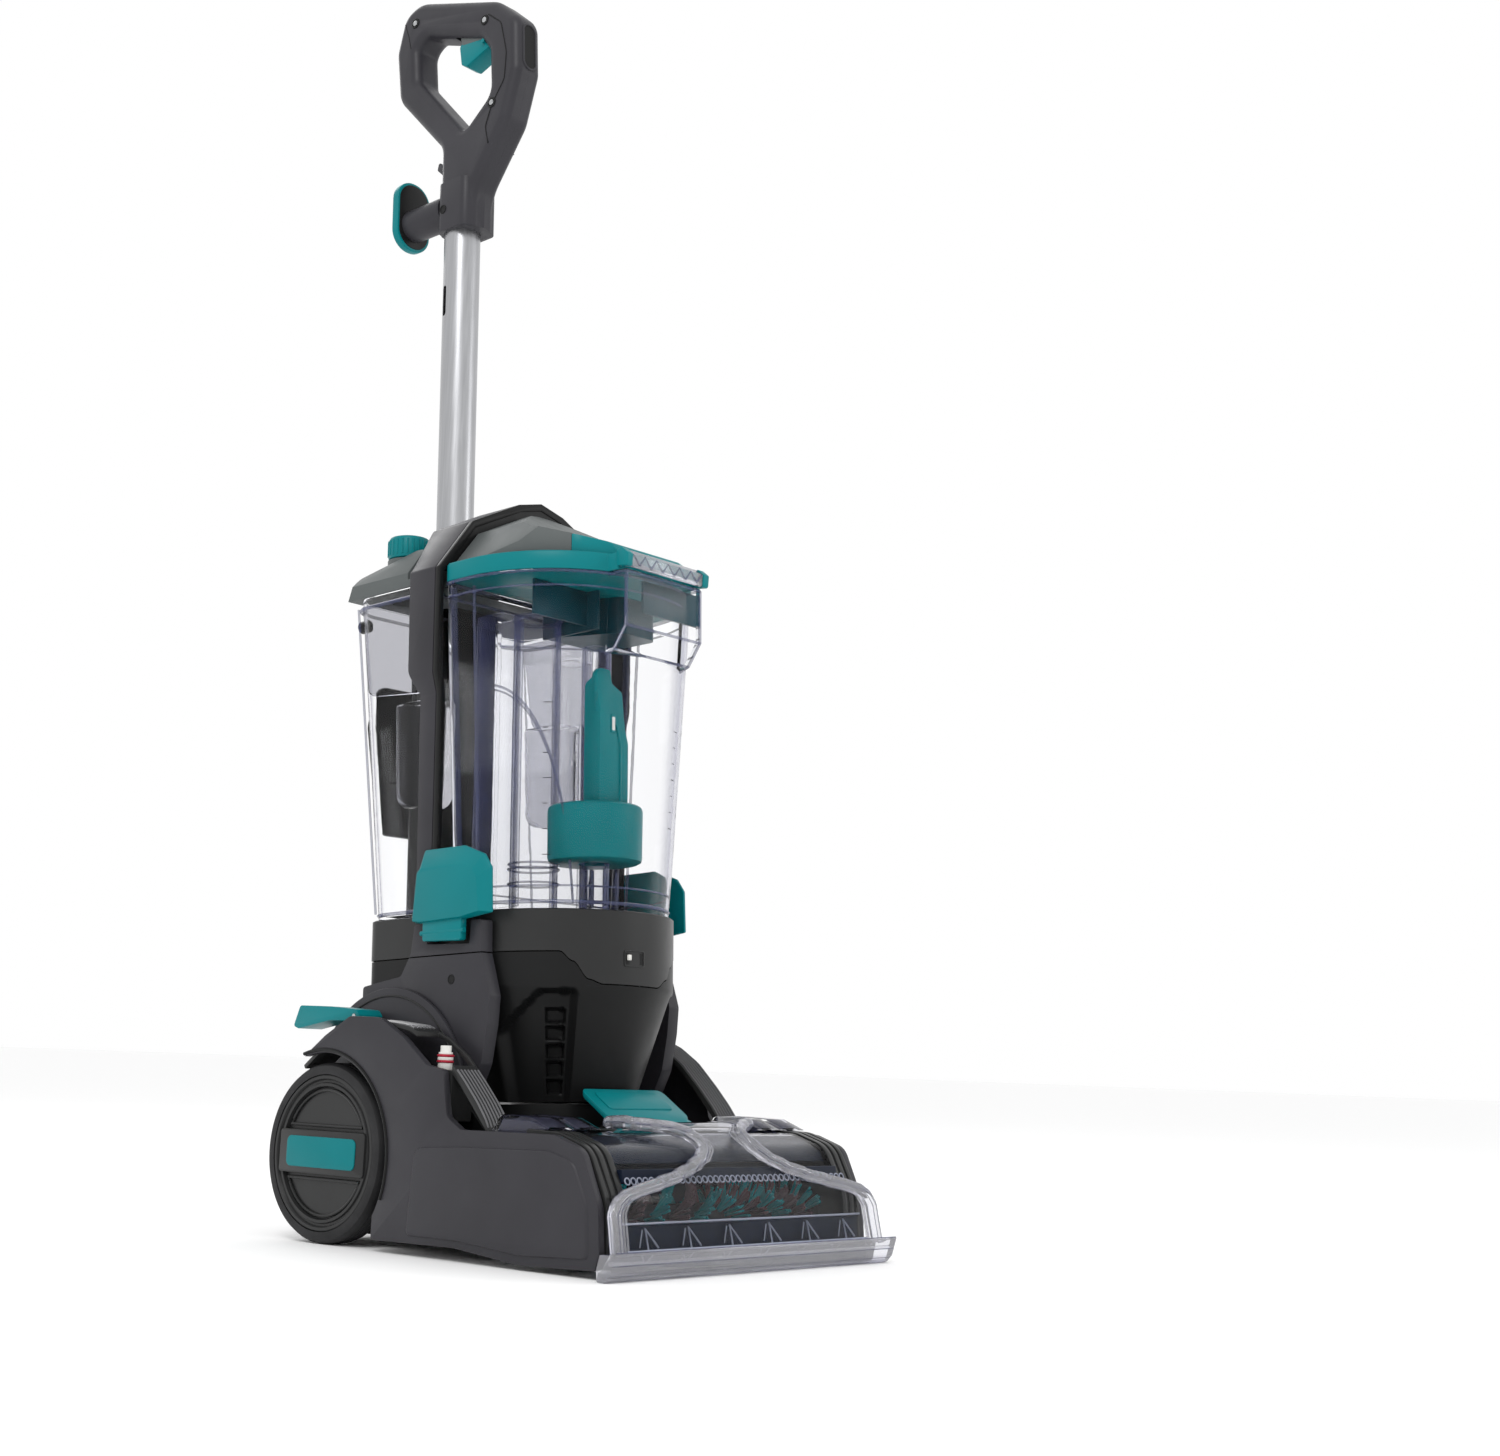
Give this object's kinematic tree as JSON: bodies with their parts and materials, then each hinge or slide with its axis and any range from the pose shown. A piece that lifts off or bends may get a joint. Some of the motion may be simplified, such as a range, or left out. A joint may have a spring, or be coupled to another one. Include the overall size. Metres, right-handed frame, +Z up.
{
  "type": "carpet cleaner",
  "caption": "Upright carpet cleaner with a clear front tank, reclining body, brush nozzle, rear wheels, aluminium pole and loop handle.",
  "frame": {"origin": "on the floor, at the middle of the machine's footprint (centre of the bounding box's base)", "axes": "+Z up, the front of the machine (brush nozzle) towards -Y, +X to the right when looking along +Y from the front"},
  "size_m": [0.32, 0.4994, 1.1373],
  "materials": {
    "charcoal_plastic": "fine satin moulded, slightly violet charcoal",
    "black_plastic": "near-black satin moulded",
    "inner_plastic": "plain moulded, unpainted",
    "teal_plastic": "gloss moulded teal",
    "clear_plastic": "clear polycarbonate with a faint blue tint",
    "smoke_plastic": "smoky grey gloss",
    "aluminium_tube": "satin anodised",
    "tyre_rubber": "fine black rubber",
    "seal_rubber": "red sealing rubber",
    "white_plastic": "off-white moulded",
    "steel": "turned, bright",
    "bristle": "teal and grey nylon tufts",
    "belt_rubber": "black ribbed belt"
  },
  "bodies": {
    "base": {"base_chassis": "black_plastic", "side_panel_left": "charcoal_plastic", "side_panel_right": "charcoal_plastic", "fender_left": "charcoal_plastic", "fender_right": "charcoal_plastic", "wheel_axles": "steel", "pivot_pins": "steel", "hinge_pins": "steel", "hose_nipple": "white_plastic", "nipple_o_rings": "seal_rubber", "port_duct": "black_plastic", "deck_covers": "clear_plastic", "brush_hood": "clear_plastic", "nozzle_cover": "clear_plastic", "nozzle_lip": "clear_plastic", "end_caps": "black_plastic", "spray_bar": "inner_plastic", "brush_motor": "steel", "drive_belt": "belt_rubber"},
    "wheel_left": {"tyre_left": "tyre_rubber", "hub_left": "charcoal_plastic", "inlay_left": "teal_plastic"},
    "wheel_right": {"tyre_right": "tyre_rubber", "hub_right": "charcoal_plastic", "inlay_right": "teal_plastic"},
    "brush": {"brush_core": "inner_plastic", "brush_bristles": "bristle"},
    "brush_drive": {"motor_pinion": "steel"},
    "pedal": {"recline_pedal": "teal_plastic"},
    "port_door": {"port_cover": "teal_plastic"},
    "upright": {"lower_housing": "black_plastic", "collar": "black_plastic", "hip_covers": "charcoal_plastic", "pivot_discs": "charcoal_plastic", "suction_motor": "steel", "pump": "inner_plastic", "centre_frame": "charcoal_plastic", "spine": "black_plastic", "rear_tank": "clear_plastic", "rear_tank_top": "smoke_plastic", "lower_cord_hook": "black_plastic", "pole": "aluminium_tube", "handle_left": "charcoal_plastic", "handle_right": "charcoal_plastic", "handle_screws": "steel", "handle_label": "black_plastic", "cord_clip": "charcoal_plastic"},
    "fan": {"suction_fan": "inner_plastic"},
    "latch_left": {"latch_left": "teal_plastic"},
    "latch_right": {"latch_right": "teal_plastic"},
    "tank": {"tank_shell": "clear_plastic", "tank_tubes": "clear_plastic"},
    "float_body": {"float": "teal_plastic"},
    "lid": {"tank_lid": "teal_plastic", "lid_roof": "smoke_plastic"},
    "lid_bar": {"lid_latch": "clear_plastic"},
    "filler": {"fill_cap": "teal_plastic"},
    "trigger_body": {"trigger": "teal_plastic"},
    "valve": {"valve_rod": "inner_plastic"},
    "cord_hook": {"upper_cord_hook": "charcoal_plastic"}
  },
  "joints": [
    {"name": "upright_recline", "type": "hinge", "parent": "base", "child": "upright", "pos_m": [0, 0.05362, 0.11], "axis": [-1, 0, 0], "range_deg": [0, 60]},
    {"name": "wheel_left_spin", "type": "hinge", "parent": "base", "child": "wheel_left", "pos_m": [-0.133, 0.08562, 0.07], "axis": [1, 0, 0], "continuous": true},
    {"name": "wheel_right_spin", "type": "hinge", "parent": "base", "child": "wheel_right", "pos_m": [0.133, 0.08562, 0.07], "axis": [1, 0, 0], "continuous": true},
    {"name": "brush_spin", "type": "hinge", "parent": "base", "child": "brush", "pos_m": [0, -0.18138, 0.034], "axis": [1, 0, 0], "continuous": true},
    {"name": "motor_spin", "type": "hinge", "parent": "base", "child": "brush_drive", "pos_m": [0.1234, -0.11338, 0.042], "axis": [1, 0, 0], "continuous": true},
    {"name": "pedal_press", "type": "hinge", "parent": "base", "child": "pedal", "pos_m": [-0.1316, 0.06062, 0.1765], "axis": [-1, 0, 0], "range_deg": [0, 8], "stiffness_Nm_per_rad": 0.6, "springref_deg": -5.73},
    {"name": "port_cover_open", "type": "hinge", "parent": "base", "child": "port_door", "pos_m": [0, -0.13038, 0.097], "axis": [1, 0, 0], "range_deg": [0, 80]},
    {"name": "fan_spin", "type": "hinge", "parent": "upright", "child": "fan", "pos_m": [0, -0.00298, 0.20089], "axis": [0, 0.0492, 0.9988], "continuous": true},
    {"name": "latch_left_open", "type": "hinge", "parent": "upright", "child": "latch_left", "pos_m": [-0.1137, -0.00406, 0.244], "axis": [0, -0.9988, 0.0492], "range_deg": [0, 35]},
    {"name": "latch_right_open", "type": "hinge", "parent": "upright", "child": "latch_right", "pos_m": [0.1137, -0.00406, 0.244], "axis": [0, 0.9988, -0.0492], "range_deg": [0, 35]},
    {"name": "tank_lift", "type": "slide", "parent": "upright", "child": "tank", "axis": [0, 0.0492, 0.9988], "range_m": [0, 0.3]},
    {"name": "float_rise", "type": "slide", "parent": "tank", "child": "float_body", "axis": [0, 0.0492, 0.9988], "range_m": [0, 0.03]},
    {"name": "lid_lift", "type": "slide", "parent": "tank", "child": "lid", "axis": [0, 0.0492, 0.9988], "range_m": [0, 0.12]},
    {"name": "lid_bar_flip", "type": "hinge", "parent": "lid", "child": "lid_bar", "pos_m": [0, -0.11198, 0.54908], "axis": [-1, 0, 0], "range_deg": [0, 70]},
    {"name": "fill_cap_turn", "type": "hinge", "parent": "upright", "child": "filler", "pos_m": [-0.068, 0.11959, 0.57532], "axis": [0, 0.0492, 0.9988], "range_deg": [0, 90]},
    {"name": "trigger_pull", "type": "hinge", "parent": "upright", "child": "trigger_body", "pos_m": [0, 0.12806, 1.0725], "axis": [1, 0, 0], "range_deg": [0, 9], "stiffness_Nm_per_rad": 0.3, "springref_deg": -8.59},
    {"name": "valve_rod_lift", "type": "slide", "parent": "upright", "child": "valve", "axis": [0, 0.0492, 0.9988], "range_m": [0, 0.006]},
    {"name": "cord_hook_swivel", "type": "hinge", "parent": "upright", "child": "cord_hook", "pos_m": [0, 0.19864, 0.91985], "axis": [0, 0.9988, -0.0492], "range_deg": [0, 180]}
  ],
  "couplings": [
    {"joint": "motor_spin", "follows": "brush_spin", "ratio": 1.5},
    {"joint": "valve_rod_lift", "follows": "trigger_pull", "m_per_rad": 0.035}
  ]
}
